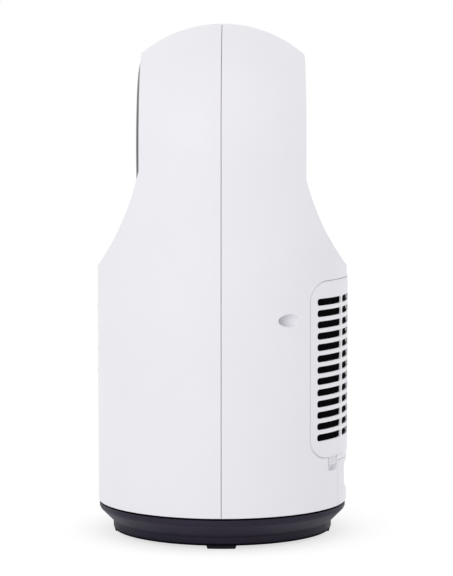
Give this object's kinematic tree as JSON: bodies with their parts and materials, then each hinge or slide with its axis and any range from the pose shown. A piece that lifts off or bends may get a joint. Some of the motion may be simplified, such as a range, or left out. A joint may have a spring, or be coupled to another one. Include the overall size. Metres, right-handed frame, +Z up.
{
  "type": "bladeless fan heater",
  "caption": "White round bladeless fan heater: ring head with a black air nozzle, scooped neck, rear intake grille, and a black base that swings the body from side to side.",
  "frame": {"origin": "centre of the base on the table, under the body's axis", "axes": "+Z up, -Y out of the front ring, +Y out of the rear grille, +X to the right seen from the front"},
  "size_m": [0.165, 0.1656, 0.336],
  "materials": {
    "white_plastic": "satin white moulding with a fine texture",
    "gloss_black": "high gloss black",
    "black_plastic": "satin black moulding",
    "rubber": "matt",
    "natural_plastic": "unpainted nylon or acetal",
    "grey_plastic": "moulded, matt",
    "red_plastic": "glossy",
    "blue_plastic": "glossy",
    "green_plastic": "moulded",
    "button_grey": "satin",
    "circuit_board": "solder mask",
    "foam": "open-cell foam",
    "steel": "zinc plated",
    "motor_steel": "plated steel can",
    "bronze": "sintered bronze, copper and brass",
    "aluminium": "mill finish"
  },
  "bodies": {
    "base": {"base_tray": "black_plastic", "foot_pads": "rubber", "slip_ring": "natural_plastic", "ring_gear": "natural_plastic", "gear_screws": "steel"},
    "body": {"floor_plate": "grey_plastic", "hub_retainer": "steel", "retainer_screws": "steel", "floor_screws": "steel", "front_shell": "white_plastic", "rear_shell": "white_plastic", "shell_screws": "steel", "nozzle_ring": "gloss_black", "ring_screws": "steel", "ring_liner": "white_plastic", "power_panel": "white_plastic", "cord_gland": "rubber", "cord_clamp": "black_plastic", "rocker_housing": "black_plastic", "control_panel": "white_plastic", "control_board": "circuit_board", "tact_switches": "black_plastic", "scroll_front": "grey_plastic", "scroll_rear": "grey_plastic", "scroll_screws": "steel", "motor_case": "motor_steel", "motor_bushes": "bronze", "motor_grommets": "rubber", "motor_screws": "steel", "outlet_gasket": "rubber", "heater_frame": "natural_plastic", "heater_elements": "aluminium", "heater_terminals": "bronze", "thermal_cutout": "aluminium", "duct_adapter": "grey_plastic", "power_board": "circuit_board", "relays": "blue_plastic", "capacitors": "blue_plastic", "terminal_block": "green_plastic", "board_screws": "steel", "swing_motor": "motor_steel", "swing_motor_screws": "steel", "tip_switch_housing": "natural_plastic", "heater_leads": "red_plastic", "motor_lead": "black_plastic"},
    "pinion": {"swing_pinion": "natural_plastic"},
    "fan": {"impeller": "black_plastic", "impeller_nut": "steel", "motor_shaft": "steel", "motor_rotor": "bronze"},
    "grille": {"intake_grille": "white_plastic", "filter_foam": "foam", "filter_frame": "black_plastic"},
    "rocker": {"rocker": "red_plastic"},
    "power_button": {"power_button": "button_grey"},
    "heat_button": {"heat_button": "button_grey"},
    "swing_button": {"swing_button": "button_grey"},
    "timer_button": {"timer_button": "button_grey"},
    "tip_pendulum": {"tip_pendulum": "steel"}
  },
  "joints": [
    {"name": "swing", "type": "hinge", "parent": "base", "child": "body", "pos_m": [0, 0, 0.021], "axis": [0, 0, 1], "range_deg": [-35, 35]},
    {"name": "pinion_spin", "type": "hinge", "parent": "body", "child": "pinion", "pos_m": [0, -0.036, 0.0135], "axis": [0, 0, 1], "range_deg": [-180, 180]},
    {"name": "fan_spin", "type": "hinge", "parent": "body", "child": "fan", "pos_m": [0, 0, 0.1039], "axis": [0, 1, 0], "continuous": true},
    {"name": "grille_pull", "type": "slide", "parent": "body", "child": "grille", "axis": [0, 1, 0], "range_m": [0, 0.07]},
    {"name": "rocker_tilt", "type": "hinge", "parent": "body", "child": "rocker", "pos_m": [0.0082, 0.0707, 0.0386], "axis": [0, 0, 1], "range_deg": [0, 16]},
    {"name": "power_press", "type": "slide", "parent": "body", "child": "power_button", "axis": [0, 1, 0], "range_m": [0, 0.0008], "stiffness_N_per_m": 1500, "springref_m": -0.0004},
    {"name": "heat_press", "type": "slide", "parent": "body", "child": "heat_button", "axis": [0, 1, 0], "range_m": [0, 0.0008], "stiffness_N_per_m": 1500, "springref_m": -0.0004},
    {"name": "swing_press", "type": "slide", "parent": "body", "child": "swing_button", "axis": [0, 1, 0], "range_m": [0, 0.0008], "stiffness_N_per_m": 1500, "springref_m": -0.0004},
    {"name": "timer_press", "type": "slide", "parent": "body", "child": "timer_button", "axis": [0, 1, 0], "range_m": [0, 0.0008], "stiffness_N_per_m": 1500, "springref_m": -0.0004},
    {"name": "tip_swing", "type": "hinge", "parent": "body", "child": "tip_pendulum", "pos_m": [0.05, -0.034, 0.044], "axis": [1, 0, 0], "range_deg": [-20, 20]}
  ],
  "couplings": [
    {"joint": "pinion_spin", "follows": "swing", "ratio": -5}
  ]
}
